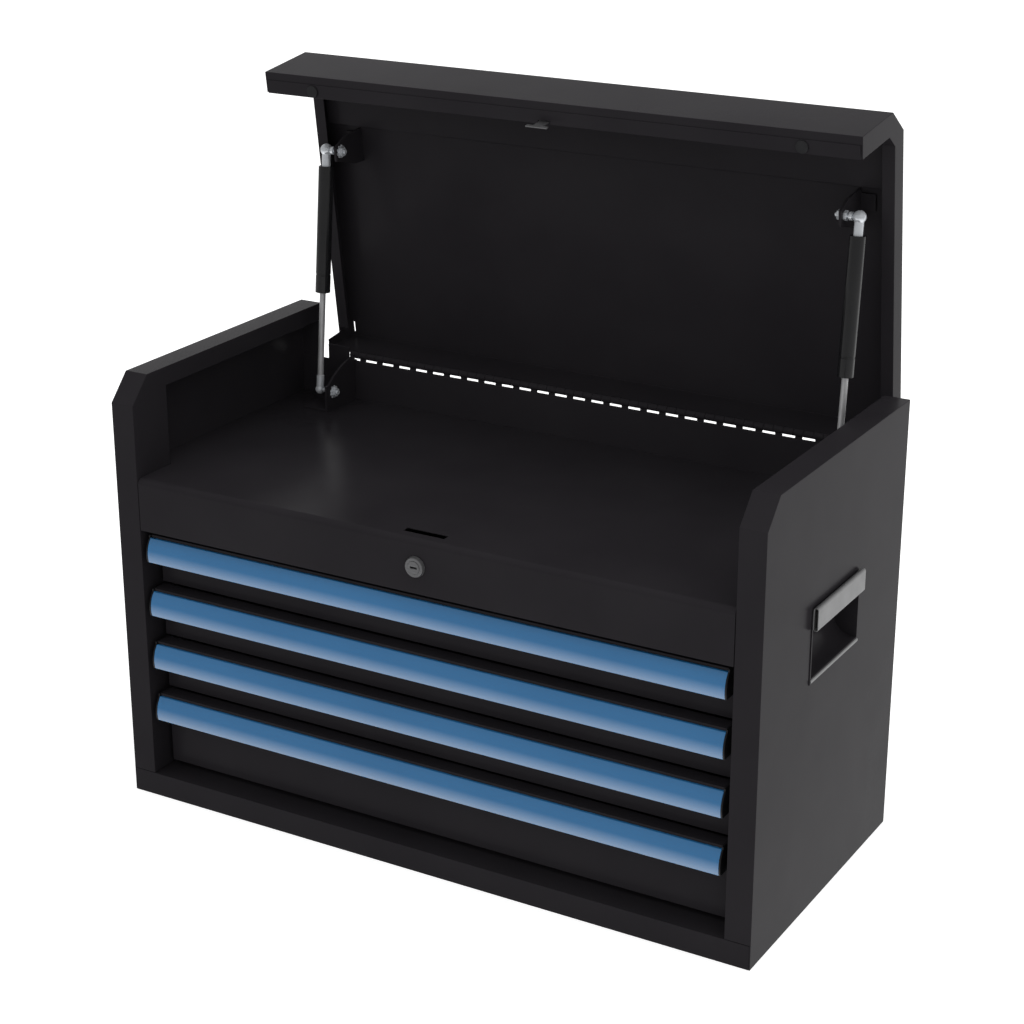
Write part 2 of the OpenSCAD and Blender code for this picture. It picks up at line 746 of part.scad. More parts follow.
module lock_bar() piece(zinc) difference() {
    union() {
        box([-bar_w / 2, bar_y, wall_top(4) - 6], [bar_w / 2, bar_y + bar_t, bar_top]);
        for (i = drawers) {
            z = wall_top(i) + tab_clear;
            box([-5, tab_y, z + tab_h - bar_t], [5, bar_y + 0.5, z + tab_h]);
            box([-5, tab_y, z], [5, tab_y + bar_t, z + tab_h]);
        }
    }
    x0 = -crank_r - 2 - 2 * guide_gap;
    z0 = lock_z + crank_r * sin(45);
    box([x0, bar_y - 1, z0 - 2 - guide_gap], [-crank_r * cos(45) + 2 + 2 * guide_gap, bar_y + bar_t + 1,
        z0 + 2 + guide_gap]);
}

module lock_bar_guides() piece(zinc) {
    for (z = [wall_top(4) + tab_h + guide_h / 2, wall_top(2) + tab_h + guide_h / 2]) {
        pair() box([bar_w / 2 + run, bar_y - run - bar_t, z],
            [bar_w / 2 + guide_side, back_front, z + guide_h]);
        box([-bar_w / 2 - guide_side, bar_y - run - bar_t, z],
            [bar_w / 2 + guide_side, bar_y - run, z + guide_h]);
    }
    difference() {
        box([-hanger_w / 2, hanger_y, lock_z - hanger_w / 2], [hanger_w / 2, hanger_y + bar_t, deck_under]);
        rod_y(link_r + fit, hanger_y - 1, hanger_y + bar_t + 1, 0, lock_z);
    }
}

// ---- drawers ----

module drawer_box(i) piece(paint) {
    low = face_low(i);
    y0 = recess + drawer_sheet;
    box([-pull_x, recess, low], [pull_x, y0, face_top(i)]);
    box([-pull_x, recess, low], [pull_x, recess + 6, low + drawer_sheet]);
    shelf_x = pull_x - cap_t;
    lip_y = pull_edge + lip_back;
    box([-shelf_x, lip_y, face_top(i) - drawer_sheet], [shelf_x, y0, face_top(i)]);
    box([-shelf_x, lip_y, pull_top(i)], [shelf_x, lip_y + drawer_sheet, face_top(i)]);
    difference() {
        box([-box_x, y0, wall_low(i)], [box_x, box_back, wall_top(i)]);
        box([-box_x + drawer_sheet, y0 - 1, wall_low(i) + drawer_sheet],
            [box_x - drawer_sheet, box_back - drawer_sheet, wall_top(i) + 1]);
    }
}

// Front outline of a pull in (y, z): the round front, grown inwards by g
module pull_round(i, g) intersection() {
    translate([pull_front + arc_r, pull_top(i) - pull_h + pull_belly]) circle(arc_r - g, $fn = 96);
    translate([pull_front - 1, pull_top(i) - pull_h]) square([pull_bulge + 1, pull_h]);
}

module drawer_pull(i) piece(blue) {
    x = pull_x - cap_t;
    top = pull_top(i);
    along_x(-x, x) difference() {
        pull_round(i, 0);
        pull_round(i, pull_wall);
    }
    box([-x, pull_edge, top - pull_wall], [x, pull_edge + 2 * lip_back, top]);
    box([-x, pull_front + pull_wall, top - pull_h], [x, pull_edge, top - pull_h + pull_wall]);
}

module drawer_caps(i) piece(plastic) pair() {
    along_x(pull_x - cap_t, pull_x) pull_round(i, 0);
    box([pull_x - cap_t, pull_edge, pull_top(i) - pull_h], [pull_x, recess, face_top(i)]);
}

// Channel section in (x, z): web from x0 to x1, flanges to x2
module channel(x0, x1, x2, h) {
    translate([min(x0, x2), -h / 2]) square([max(x1, x2) - min(x0, x2), slide_sheet]);
    translate([min(x0, x2), h / 2 - slide_sheet]) square([max(x1, x2) - min(x0, x2), slide_sheet]);
    translate([x0, -h / 2]) square([x1 - x0, h]);
}

mid_h = slide_h - 2 * (slide_sheet + run);
mid_x = post_x - slide_sheet - run;
inner_h = mid_h - 2 * (slide_sheet + run);

module outer_slides() piece(zinc) for (i = drawers) pair() along_y(slide_y, cab_d - 14)
    translate([0, slide_z(i)]) channel(post_x - slide_sheet, post_x, post_x - slide_lip, slide_h);

module middle_slides(i) piece(zinc) pair() along_y(slide_y, slide_y + slide_len)
    translate([0, slide_z(i)]) channel(mid_x - slide_sheet, mid_x, post_x - slide_lip, mid_h);

module inner_slides(i) piece(zinc) pair() along_y(slide_y, slide_y + slide_len)
    translate([0, slide_z(i)]) channel(box_x, box_x + slide_sheet, mid_x - slide_sheet - run, inner_h);

left_side_panel();
right_side_panel();
back_panel();
base_pan();
deck();
rear_uprights();
handle_cups();
handle_grips();
strut_gussets();
outer_slides();
hinge_body_leaf();
hinge_pin();
lower_ball_studs();
lock_body();
lock_nut();
lock_bar_guides();
lock_plug();
lock_cam();
lock_rod();
lock_bar();
lid_shell();
lid_stiffener();
lid_lip_plate();
lid_striker();
lid_bumpers();
lid_brackets();
upper_stud_nuts();
hinge_lid_leaf();
left_strut_rod();
left_strut_socket();
left_strut_tube();
left_strut_end();
left_upper_ball();
right_strut_rod();
right_strut_socket();
right_strut_tube();
right_strut_end();
right_upper_ball();
for (i = drawers) {
    drawer_box(i);
    drawer_pull(i);
    drawer_caps(i);
    inner_slides(i);
    middle_slides(i);
}
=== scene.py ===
import json
import math

import bmesh
import bpy
from mathutils import Matrix, Vector

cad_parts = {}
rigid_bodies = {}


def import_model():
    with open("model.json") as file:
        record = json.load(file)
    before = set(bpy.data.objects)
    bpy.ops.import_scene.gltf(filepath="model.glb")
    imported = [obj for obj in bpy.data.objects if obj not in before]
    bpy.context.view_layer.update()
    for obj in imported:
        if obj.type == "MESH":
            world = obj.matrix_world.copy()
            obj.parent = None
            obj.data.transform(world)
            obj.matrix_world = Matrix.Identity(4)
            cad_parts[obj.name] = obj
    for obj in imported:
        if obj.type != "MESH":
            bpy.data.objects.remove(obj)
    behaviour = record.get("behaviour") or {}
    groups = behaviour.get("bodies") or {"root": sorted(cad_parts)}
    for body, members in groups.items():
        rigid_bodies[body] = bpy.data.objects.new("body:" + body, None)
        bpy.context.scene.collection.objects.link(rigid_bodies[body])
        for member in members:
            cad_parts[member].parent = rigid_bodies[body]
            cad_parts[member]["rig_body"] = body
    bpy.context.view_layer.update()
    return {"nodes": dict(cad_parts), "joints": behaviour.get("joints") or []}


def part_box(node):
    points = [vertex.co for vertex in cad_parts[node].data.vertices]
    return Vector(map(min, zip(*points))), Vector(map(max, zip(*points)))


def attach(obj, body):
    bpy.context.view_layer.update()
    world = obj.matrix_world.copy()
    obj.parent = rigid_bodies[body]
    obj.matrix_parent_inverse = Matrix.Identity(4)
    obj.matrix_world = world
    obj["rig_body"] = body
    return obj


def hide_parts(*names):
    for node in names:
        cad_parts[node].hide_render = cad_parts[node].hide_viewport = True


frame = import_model()
nodes = frame["nodes"]
joints = {joint["name"]: joint for joint in frame["joints"]}
scene = bpy.context.scene
mm = 0.001
sides = {"left": -1, "right": 1}
mergeWithin, flatWithin = 0.004, 0.8  # millimetres and degrees
drawers = (1, 2, 3, 4)
print("frame loaded:", len(nodes), "nodes")


def newMaterial(name):
    material = bpy.data.materials.new(name)
    material.use_nodes = True
    tree = material.node_tree
    tree.nodes.clear()
    output = tree.nodes.new("ShaderNodeOutputMaterial")
    shader = tree.nodes.new("ShaderNodeBsdfPrincipled")
    tree.links.new(shader.outputs["BSDF"], output.inputs["Surface"])
    coords = tree.nodes.new("ShaderNodeTexCoord")
    return material, tree, shader, coords.outputs["Object"]


def noiseOf(tree, coords, scale, detail=4.0, stretch=(1, 1, 1)):
    mapping = tree.nodes.new("ShaderNodeMapping")
    mapping.inputs["Scale"].default_value = stretch
    tree.links.new(coords, mapping.inputs["Vector"])
    noise = tree.nodes.new("ShaderNodeTexNoise")
    noise.inputs["Scale"].default_value = scale
    noise.inputs["Detail"].default_value = detail
    tree.links.new(mapping.outputs["Vector"], noise.inputs["Vector"])
    return noise.outputs["Fac"]


def spread(tree, value, low, high, fromLow=0.3, fromHigh=0.7):
    ranged = tree.nodes.new("ShaderNodeMapRange")
    for name, number in (("From Min", fromLow), ("From Max", fromHigh), ("To Min", low), ("To Max", high)):
        ranged.inputs[name].default_value = number
    tree.links.new(value, ranged.inputs["Value"])
    return ranged.outputs["Result"]


def tinted(tree, value, dark, light):
    ramp = tree.nodes.new("ShaderNodeValToRGB")
    for element, place, colour in zip(ramp.color_ramp.elements, (0.3, 0.7), (dark, light)):
        element.position = place
        element.color = (*colour, 1)
    tree.links.new(value, ramp.inputs["Fac"])
    return ramp.outputs["Color"]


def bumped(tree, shader, heights):  # heights: (value, strength, distance in metres), coarse first
    normal = None
    for value, strength, distance in heights:
        bump = tree.nodes.new("ShaderNodeBump")
        bump.inputs["Strength"].default_value = strength
        bump.inputs["Distance"].default_value = distance
        tree.links.new(value, bump.inputs["Height"])
        if normal:
            tree.links.new(normal, bump.inputs["Normal"])
        normal = bump.outputs["Normal"]
    tree.links.new(normal, shader.inputs["Normal"])


def finishOf(name, dark, light, metallic, rough, specular, patchScale, bumps,
             coat=0.0, coatRough=0.05, coatIor=1.5, stretch=(1, 1, 1)):
    material, tree, shader, coords = newMaterial(name)
    for socket, number in (("Metallic", metallic), ("Specular IOR Level", specular), ("Coat Weight", coat),
                           ("Coat Roughness", coatRough), ("Coat IOR", coatIor)):
        shader.inputs[socket].default_value = number
    patches = noiseOf(tree, coords, patchScale, stretch=stretch)
    tree.links.new(tinted(tree, patches, dark, light), shader.inputs["Base Color"])
    smears = noiseOf(tree, coords, patchScale * 2.7, 6, stretch)
    tree.links.new(spread(tree, smears, *rough), shader.inputs["Roughness"])
    bumped(tree, shader, [(noiseOf(tree, coords, scale, 3, stretch), strength, distance)
                          for scale, strength, distance in bumps])
    return material


bodyPaint = finishOf("satin black powder coat", (0.0212, 0.0194, 0.0222), (0.0260, 0.0240, 0.0270),
                     0.0, (0.20, 0.27), 0.035, 9, [(60, 0.05, 0.0005), (1100, 0.06, 0.00008)])
pullBlue = finishOf("glossy blue", (0.018, 0.158, 0.375), (0.022, 0.174, 0.405),
                    0.0, (0.28, 0.36), 0.0, 7, [(45, 0.03, 0.0005), (900, 0.04, 0.00006)],
                    coat=1.0, coatRough=0.13, coatIor=2.1)
blackPlastic = finishOf("moulded black", (0.006, 0.006, 0.007), (0.010, 0.010, 0.011),
                        0.0, (0.38, 0.50), 0.25, 60, [(1400, 0.25, 0.00012)])
zincPlate = finishOf("zinc plate", (0.46, 0.47, 0.49), (0.60, 0.61, 0.62),
                     1.0, (0.28, 0.42), 0.5, 60, [(500, 0.12, 0.0001)], stretch=(1, 0.15, 1))
handleGrey = finishOf("satin grey", (0.23, 0.23, 0.233), (0.27, 0.27, 0.274),
                      0.6, (0.34, 0.44), 0.4, 30, [(800, 0.12, 0.0001)])
lockGrey = finishOf("dull nickel", (0.125, 0.125, 0.129), (0.170, 0.170, 0.175),
                    0.55, (0.30, 0.42), 0.4, 90, [(900, 0.15, 0.00008)], stretch=(1, 1, 6))
rubberBlack = finishOf("rubber", (0.016, 0.016, 0.017), (0.024, 0.024, 0.026),
                       0.0, (0.70, 0.85), 0.25, 120, [(1800, 0.35, 0.00015)])
polished = finishOf("polished chrome", (0.72, 0.75, 0.79), (0.80, 0.83, 0.87),
                    0.45, (0.14, 0.22), 0.6, 40, [(300, 0.03, 0.00005)])
rodChrome = finishOf("satin chrome", (0.60, 0.60, 0.61), (0.70, 0.70, 0.71),
                     0.55, (0.30, 0.42), 0.5, 120, [(900, 0.10, 0.00004)])
strutBlack = finishOf("gloss black", (0.009, 0.009, 0.010), (0.013, 0.013, 0.014),
                      0.0, (0.16, 0.22), 0.5, 30, [(600, 0.04, 0.00008)], coat=0.3)
print("materials made")


def addObject(name, mesh):
    made = bpy.data.objects.new(name, mesh)
    scene.collection.objects.link(made)
    return made


def meshFrom(work, name):
    mesh = bpy.data.meshes.new(name)
    work.to_mesh(mesh)
    work.free()
    return mesh


def evaluated(temp):  # the mesh with its modifiers applied; the object goes
    done = bpy.data.meshes.new_from_object(temp.evaluated_get(bpy.context.evaluated_depsgraph_get()))
    bpy.data.objects.remove(temp)
    return done


def rounded(mesh, width, segments=2, smoothAngle=32):
    if width:
        temp = addObject("temp", mesh)
        bevel = temp.modifiers.new("edges", "BEVEL")
        bevel.width = width
        bevel.segments = segments
        bevel.limit_method = "ANGLE"
        bevel.angle_limit = math.radians(smoothAngle)
        mesh = evaluated(temp)
    mesh.polygons.foreach_set("use_smooth", [True] * len(mesh.polygons))
    mesh.set_sharp_from_angle(angle=math.radians(smoothAngle + 8))
    temp = addObject("temp", mesh)
    flats = temp.modifiers.new("flats", "WEIGHTED_NORMAL")  # keeps the flat panels flat
    flats.mode = "FACE_AREA"
    flats.weight = 50
    flats.keep_sharp = True
    return evaluated(temp)


def asPiece(name, mesh, material, body, replaced=()):
    mesh.materials.clear()
    mesh.materials.append(material)
    mesh.polygons.foreach_set("material_index", [0] * len(mesh.polygons))
    piece = addObject(name, mesh)
    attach(piece, body)
    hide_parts(*replaced)
    return piece


def rolledCopy(node, material, width):
    work = bmesh.new()
    work.from_mesh(nodes[node].data)
    bmesh.ops.remove_doubles(work, verts=work.verts, dist=mergeWithin * mm)
    bmesh.ops.dissolve_limit(work, angle_limit=math.radians(flatWithin), verts=work.verts,
                             edges=work.edges, delimit={"NORMAL"})
    mesh = rounded(meshFrom(work, node + "Rolled"), width)
    return asPiece(node + "Piece", mesh, material, nodes[node]["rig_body"], [node])


def turned(profile, name, segments=64):  # profile: a closed loop of (radius, along the axis)
    work = bmesh.new()
    circles = []
    for radius, along in profile:
        if radius < 1e-7:
            circles.append([work.verts.new((0, 0, along))] * segments)
        else:
            circles.append([work.verts.new((radius * math.cos(turn), radius * math.sin(turn), along))
                            for turn in (2 * math.pi * k / segments for k in range(segments))])
    for lower, upper in zip(circles, circles[1:] + circles[:1]):
        for k in range(segments):
            corners = []
            for vert in (lower[k], lower[k - 1], upper[k - 1], upper[k]):
                if vert not in corners:
                    corners.append(vert)
            if len(corners) > 2:
                work.faces.new(corners)
    bmesh.ops.recalc_face_normals(work, faces=work.faces)
    return meshFrom(work, name)


def strip(rungs, x0, x1, work):  # a bent strip: rungs are (inner, outer) points in (y, z)
    rows = [[work.verts.new((x, *point)) for x in (x0, x1) for point in rung] for rung in rungs]
    for row, after in zip(rows, rows[1:]):
        for a, b in ((0, 1), (1, 3), (3, 2), (2, 0)):
            work.faces.new((row[a], row[b], after[b], after[a]))
    for row in (rows[0], rows[-1]):
        work.faces.new((row[0], row[1], row[3], row[2]))


def inMetres(work, name):
    bmesh.ops.recalc_face_normals(work, faces=work.faces)
    mesh = meshFrom(work, name)
    mesh.transform(Matrix.Scale(mm, 4))
    return mesh


def namedTree(name, sizes):  # a geometry tree with named inputs, and their identifiers
    tree = bpy.data.node_groups.new(name, "GeometryNodeTree")
    tree.interface.new_socket(name="Geometry", in_out="INPUT", socket_type="NodeSocketGeometry")
    keys = {size: tree.interface.new_socket(name=size, in_out="INPUT", socket_type=kind).identifier
            for size, kind in sizes.items()}
    tree.interface.new_socket(name="Geometry", in_out="OUTPUT", socket_type="NodeSocketGeometry")
    return tree, tree.nodes.new("NodeGroupInput"), tree.nodes.new("NodeGroupOutput"), keys


def endTree(tree, source, output, placed):
    realized = tree.nodes.new("GeometryNodeRealizeInstances")
    painted = tree.nodes.new("GeometryNodeSetMaterial")
    tree.links.new(placed.outputs["Instances"], realized.inputs["Geometry"])
    tree.links.new(realized.outputs["Geometry"], painted.inputs["Geometry"])
    tree.links.new(source.outputs["Material"], painted.inputs["Material"])
    tree.links.new(painted.outputs["Geometry"], output.inputs["Geometry"])


def rowTree():  # one shape, repeated along a line
    tree, source, output, keys = namedTree("row", {"Count": "NodeSocketInt", "Start": "NodeSocketVector",
                                                   "Step": "NodeSocketVector",
                                                   "Material": "NodeSocketMaterial"})
    line = tree.nodes.new("GeometryNodeMeshLine")
    placed = tree.nodes.new("GeometryNodeInstanceOnPoints")
    tree.links.new(source.outputs["Count"], line.inputs["Count"])
    tree.links.new(source.outputs["Start"], line.inputs["Start Location"])
    tree.links.new(source.outputs["Step"], line.inputs["Offset"])
    tree.links.new(line.outputs["Mesh"], placed.inputs["Points"])
    tree.links.new(source.outputs["Geometry"], placed.inputs["Instance"])
    endTree(tree, source, output, placed)
    return tree, keys


def ringTree():  # one shape, repeated round the x axis
    tree, source, output, keys = namedTree("ring", {"Count": "NodeSocketInt", "Turn": "NodeSocketFloat",
                                                    "Material": "NodeSocketMaterial"})
    line = tree.nodes.new("GeometryNodeMeshLine")
    line.inputs["Offset"].default_value = (0, 0, 0)
    index = tree.nodes.new("GeometryNodeInputIndex")
    angle = tree.nodes.new("ShaderNodeMath")
    angle.operation = "MULTIPLY"
    rotation = tree.nodes.new("ShaderNodeCombineXYZ")
    placed = tree.nodes.new("GeometryNodeInstanceOnPoints")
    tree.links.new(source.outputs["Count"], line.inputs["Count"])
    tree.links.new(index.outputs["Index"], angle.inputs[0])
    tree.links.new(source.outputs["Turn"], angle.inputs[1])
    tree.links.new(angle.outputs["Value"], rotation.inputs["X"])
    tree.links.new(line.outputs["Mesh"], placed.inputs["Points"])
    tree.links.new(source.outputs["Geometry"], placed.inputs["Instance"])
    tree.links.new(rotation.outputs["Vector"], placed.inputs["Rotation"])
    endTree(tree, source, output, placed)
    return tree, keys


def grown(mesh, treeAndKeys, values):  # the mesh as the tree repeats it
    tree, keys = treeAndKeys
    temp = addObject("temp", mesh)
    modifier = temp.modifiers.new("repeat", "NODES")
    modifier.node_group = tree
    for name, value in values.items():
        modifier[keys[name]] = value
    return evaluated(temp)


rows, rings = rowTree(), ringTree()

finishes = [
    (bodyPaint, "body_paint", 0.45, ["left_side_panel", "right_side_panel", "back_panel", "base_pan",
     "deck", "strut_gussets", "lid_shell", "lid_stiffener", "lid_lip_plate", "lid_brackets"]),
    (bodyPaint, "body_paint", 0.3, ["handle_cups"] + ["drawer_%d_box" % i for i in drawers]),
    (pullBlue, "pull_blue", 0.5, ["drawer_%d_pull" % i for i in drawers]),
    (blackPlastic, "black_plastic", 0.3, ["drawer_%d_caps" % i for i in drawers]),
    (zincPlate, "zinc", 0.3, ["outer_slides", "rear_uprights", "lock_nut", "lock_bar_guides",
     "lock_cam", "lock_rod", "lock_bar"] + ["drawer_%d_%s_slides" % (i, part)
     for i in drawers for part in ("inner", "middle")]),
    (zincPlate, "zinc", 0, ["hinge_pin"]),
    (handleGrey, "handle_grey", 0.3, ["handle_grips"]),
    (lockGrey, "lock_steel", 0.3, ["lock_body", "lock_plug", "lid_striker"]),
    (rubberBlack, "rubber", 0.4, ["lid_bumpers"]),
    (polished, "chrome", 0, ["lower_ball_studs", "upper_stud_nuts"] + ["%s_%s" % (side, part)
     for side in sides for part in ("strut_socket", "strut_end", "upper_ball")]),
]
for material, slotName, width, names in finishes:
    for name in names:
        rolledCopy(name, material, width * mm)
print("rolled pieces made")

# gas struts, turned about the line from the lower ball along the stroke
strut = {"ease": 0.5, "easeStep": 3, "groove": (17.6, 18.6), "grooveDepth": 0.35, "wall": 1.2,
         "cap": 8.0, "endWall": 3.0, "rod": 3.0, "fit": 0.05, "pistonUp": 2.0}


def strutPieces(side):
    pivot = Vector(joints[side + "_strut_swing"]["pos_m"])
    axis = Vector(joints[side + "_strut_stroke"]["axis"])
    place = Matrix.Translation(pivot) @ axis.to_track_quat("Z", "Y").to_matrix().to_4x4()

    def spanOf(node, lowRadius, highRadius):  # where a tilted round solid starts and ends on the axis
        low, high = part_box(node)
        return ((low.z - pivot.z + lowRadius * abs(axis.y)) / axis.z,
                (high.z - pivot.z - highRadius * abs(axis.y)) / axis.z)

    low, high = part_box(side + "_strut_tube")
    radius = (high.x - low.x) / 2
    start, end = spanOf(side + "_strut_tube", radius, radius)
    ease, rod, hole = strut["ease"] * mm, strut["rod"] * mm, (strut["rod"] + strut["fit"]) * mm
    dip = strut["grooveDepth"] * mm
    bore, cap = radius - strut["wall"] * mm, start + strut["cap"] * mm
    top = end - strut["endWall"] * mm
    grooveLow, grooveHigh = (start + along * mm for along in strut["groove"])
    step = ease / strut["easeStep"]
    tube = [(hole, start), (radius - ease, start), (radius - step, start + step), (radius, start + ease),
            (radius, grooveLow - dip), (radius - dip, grooveLow), (radius - dip, grooveHigh),
            (radius, grooveHigh + dip), (radius, end - ease), (radius - step, end - step),
            (radius - ease, end), (0, end), (0, top), (bore, top), (bore, cap), (hole, cap)]
    head, headUp = bore - strut["fit"] * mm, cap + strut["pistonUp"] * mm
    rodStart, rodEnd = spanOf(side + "_strut_rod", rod, head)
    shaft = [(0, rodStart), (rod, rodStart), (rod, headUp), (head - ease, headUp), (head, headUp + ease),
             (head, rodEnd - ease), (head - ease, rodEnd), (0, rodEnd)]
    for part, profile, material, slotName in (("tube", tube, strutBlack, "strut_black"),
                                              ("rod", shaft, rodChrome, "chrome")):
        node = side + "_strut_" + part
        mesh = turned(profile, node + "Turned")
        mesh.transform(place)
        asPiece(node + "Piece", rounded(mesh, 0), material, nodes[node]["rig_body"], [node])


for side in sides:
    strutPieces(side)
print("struts turned")

# the piano hinge: rolled knuckles in a row on each leaf, drawn shut about the pin
pin = Vector(joints["lid_hinge"]["pos_m"])
hinge = {"knuckle": 10.0, "gap": 0.3, "pairs": 27, "outer": 3.5, "pinHole": 1.55, "seam": 14, "rungs": 26,
         "leaf": 1.2, "lidOpen": 82.35, "edge": 0.18}
leaves = {"cabinet": {"node": "hinge_body_leaf", "first": 1, "turn": 0, "plane": -1.7, "seamAt": 245,
                      "plate": (-27.0, -5.45), "strap": (-5.75, -3.0), "strapWidth": 7.0},
          "lid": {"node": "hinge_lid_leaf", "first": 0, "turn": -hinge["lidOpen"], "plane": 1.0,
                  "seamAt": 100, "plate": (4.1, 22.0), "strap": (2.4, 4.4), "strapWidth": 9.7}}


def leafPiece(body, leaf):
    reach, half = hinge["pairs"] * hinge["knuckle"], (hinge["knuckle"] - hinge["gap"]) / 2
    first, last = leaf["seamAt"], leaf["seamAt"] + 360 - hinge["seam"]
    turns = [math.radians(first + (last - first) * k / hinge["rungs"]) for k in range(hinge["rungs"] + 1)]
    flat = lambda span: [[(leaf["plane"], z), (leaf["plane"] + hinge["leaf"], z)] for z in span]
    work = bmesh.new()
    strip([[(radius * math.cos(turn), radius * math.sin(turn))
            for radius in (hinge["pinHole"], hinge["outer"])] for turn in turns], -half, half, work)
    strip(flat(leaf["strap"]), -leaf["strapWidth"] / 2, leaf["strapWidth"] / 2, work)
    knuckle = rounded(inMetres(work, "knuckle"), hinge["edge"] * mm, 1)
    row = grown(knuckle, rows, {"Count": hinge["pairs"], "Material": bodyPaint,
                                "Start": ((-reach + (leaf["first"] + 0.5) * hinge["knuckle"]) * mm, 0, 0),
                                "Step": (2 * hinge["knuckle"] * mm, 0, 0)})
    work = bmesh.new()
    strip(flat(leaf["plate"]), -reach, reach, work)
    plate = rounded(inMetres(work, "plate"), hinge["edge"] * mm, 2)
    work = bmesh.new()
    for mesh in (row, plate):
        work.from_mesh(mesh)
    mesh = meshFrom(work, leaf["node"] + "Row")
    mesh.transform(Matrix.Translation(pin) @ Matrix.Rotation(math.radians(leaf["turn"]), 4, "X"))
    asPiece(leaf["node"] + "Piece", rounded(mesh, 0), bodyPaint, body, [leaf["node"]])


for body, leaf in leaves.items():
    leafPiece(body, leaf)
print("hinge knuckles repeated")

# rivets and screws: one turned head each, repeated in rows
# a row is how many, the step between them, and where it starts
head = {"sink": 0.3, "dome": (90, 75, 55, 35, 18), "sides": 16, "socketTaper": 0.9}
rivet = {"radius": 2.6, "height": 1.1, "leafRow": (9, 60.0, -16.0), "backRow": (5, 62.0, 45.0, 10.0),
         "slideRow": (4, 66.0, 26.0)}
screw = {"radius": 3.4, "height": 1.9, "socket": 1.5, "depth": 1.2, "slideRow": (3, 96.0, 30.0)}
slideSheet = 1.2
quarter = math.radians(90)
facing = {"back": Matrix.Rotation(-quarter, 4, "X"), "right": Matrix.Rotation(quarter, 4, "Y"),
          "left": Matrix.Rotation(-quarter, 4, "Y")}


def headMesh(kind):
    radius, height = kind["radius"], kind["height"]
    dome = [(radius * math.sin(math.radians(turn)), height * math.cos(math.radians(turn)))
            for turn in head["dome"]]
    if "socket" in kind:
        floorAt = height - kind["depth"]
        dome = dome[:4] + [(kind["socket"], height), (kind["socket"] * head["socketTaper"], floorAt),
                           (0, floorAt)]
    else:
        dome.append((0, height))
    mesh = turned([(0, -head["sink"]), (radius, -head["sink"])] + dome, "head", head["sides"])
    mesh.transform(Matrix.Scale(mm, 4))
    return mesh


def rowPiece(name, kind, way, start, step, count, material, body):
    mesh = headMesh(kind)
    mesh.transform(facing[way])
    mesh = grown(mesh, rows, {"Count": count, "Start": start, "Step": step, "Material": material})
    asPiece(name, rounded(mesh, 0), material, body)


count, step, down = rivet["leafRow"]
leafBack = pin.y + (leaves["cabinet"]["plane"] + hinge["leaf"]) * mm
rowPiece("hinge_rivets", rivet, "back", (-(count - 1) / 2 * step * mm, leafBack, pin.z + down * mm),
         (step * mm, 0, 0), count, bodyPaint, "cabinet")
panelLow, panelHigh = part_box("right_side_panel")
count, step, start, inset = rivet["backRow"]
for side, sign in sides.items():
    rowPiece("back_rivets_" + side, rivet, "back",
             (sign * (panelHigh.x - inset * mm), panelHigh.y, panelLow.z + start * mm),
             (0, 0, step * mm), count, bodyPaint, "cabinet")
for i in drawers:
    for part, kind, body in (("inner", screw, "drawer_%d" % i),
                             ("middle", rivet, "drawer_%d_carriage" % i)):
        node = "drawer_%d_%s_slides" % (i, part)
        low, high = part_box(node)
        reach = [abs(vert.co.x) for vert in nodes[node].data.vertices]
        web = min(reach) + slideSheet * mm if part == "inner" else max(reach) - slideSheet * mm
        count, step, start = kind["slideRow"]
        for side, sign in sides.items():
            way = side if part == "inner" else {"left": "right", "right": "left"}[side]
            rowPiece("%s_%s_heads" % (node, side), kind, way,
                     (sign * web, low.y + start * mm, (low.z + high.z) / 2), (0, step * mm, 0), count,
                     zincPlate, body)
print("rivets and screws repeated")

# toothed washers under the nuts of the ball studs
washer = {"teeth": 9, "outer": 6.6, "body": 5.0, "inner": 3.6, "thick": 0.8, "fromBall": 16.5,
          "tip": 0.35}


def toothMesh():
    work = bmesh.new()
    half = math.pi / washer["teeth"]
    outline = [(washer["inner"], -half), (washer["body"], -half), (washer["outer"], -half * washer["tip"]),
               (washer["outer"], half * washer["tip"]), (washer["body"], half), (washer["inner"], half)]
    faces = [[work.verts.new((x, radius * math.cos(turn), radius * math.sin(turn)))
              for radius, turn in outline] for x in (0, washer["thick"])]
    for corners in faces:
        work.faces.new(corners)
    for a, b in ((1, 2), (2, 3), (3, 4), (5, 0)):
        work.faces.new((faces[0][a], faces[0][b], faces[1][b], faces[1][a]))
    return inMetres(work, "tooth")


def washerPiece(name, centre, body):
    mesh = grown(toothMesh(), rings, {"Count": washer["teeth"], "Turn": 2 * math.pi / washer["teeth"],
                                      "Material": polished})
    work = bmesh.new()
    work.from_mesh(mesh)
    bmesh.ops.remove_doubles(work, verts=work.verts, dist=mergeWithin / 2 * mm)
    bmesh.ops.recalc_face_normals(work, faces=work.faces)
    mesh = meshFrom(work, name)
    mesh.transform(Matrix.Translation(centre))
    asPiece(name, rounded(mesh, 0), polished, body)


for side, sign in sides.items():
    lower = Vector(joints[side + "_strut_swing"]["pos_m"])
    low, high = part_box("upper_stud_nuts")
    x = lower.x - sign * washer["fromBall"] * mm - (washer["thick"] * mm if sign > 0 else 0)
    washerPiece(side + "_lower_washer", (x, lower.y, lower.z), "cabinet")
    washerPiece(side + "_upper_washer", (x, (low.y + high.y) / 2, (low.z + high.z) / 2), "lid")
print("washers repeated")

